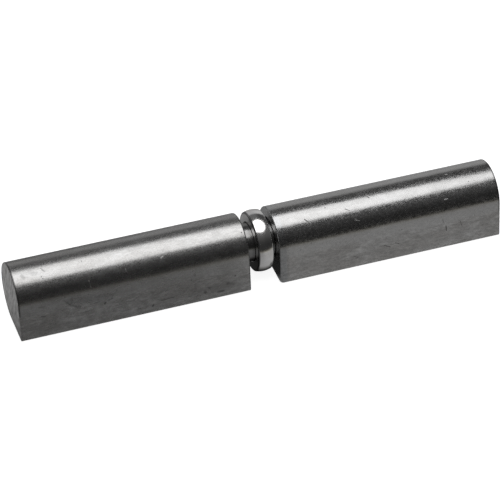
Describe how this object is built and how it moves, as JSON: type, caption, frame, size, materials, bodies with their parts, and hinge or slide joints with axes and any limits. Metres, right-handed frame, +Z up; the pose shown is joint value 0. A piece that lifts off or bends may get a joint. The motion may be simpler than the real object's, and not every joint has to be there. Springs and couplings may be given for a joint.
{
  "type": "weld-on barrel hinge",
  "caption": "Lift-off barrel hinge of bare steel: drop-section barrels to weld on, a pin and a loose ring between them.",
  "frame": {"origin": "on the table that the hinge lies on, under the middle of its box", "axes": "+X along the pin from the lower leaf to the upper leaf, +Z up from the table, -Y towards the barrels' sharp edges"},
  "size_m": [0.1034, 0.014, 0.013],
  "materials": {
    "barrel_steel": "bare drawn bar, fine grain along its length",
    "pin_steel": "turned and ground",
    "ring_steel": "polished bare steel"
  },
  "bodies": {
    "lower_leaf": {"lower_barrel": "barrel_steel", "hinge_pin": "pin_steel"},
    "ring": {"thrust_ring": "ring_steel"},
    "upper_leaf": {"upper_barrel": "barrel_steel"}
  },
  "joints": [
    {"name": "swing", "type": "hinge", "parent": "lower_leaf", "child": "ring", "pos_m": [0, 0.00047, 0.0065], "axis": [1, 0, 0], "continuous": true},
    {"name": "lift_off", "type": "slide", "parent": "ring", "child": "upper_leaf", "axis": [1, 0, 0], "range_m": [-0.00105, 0.03]}
  ]
}
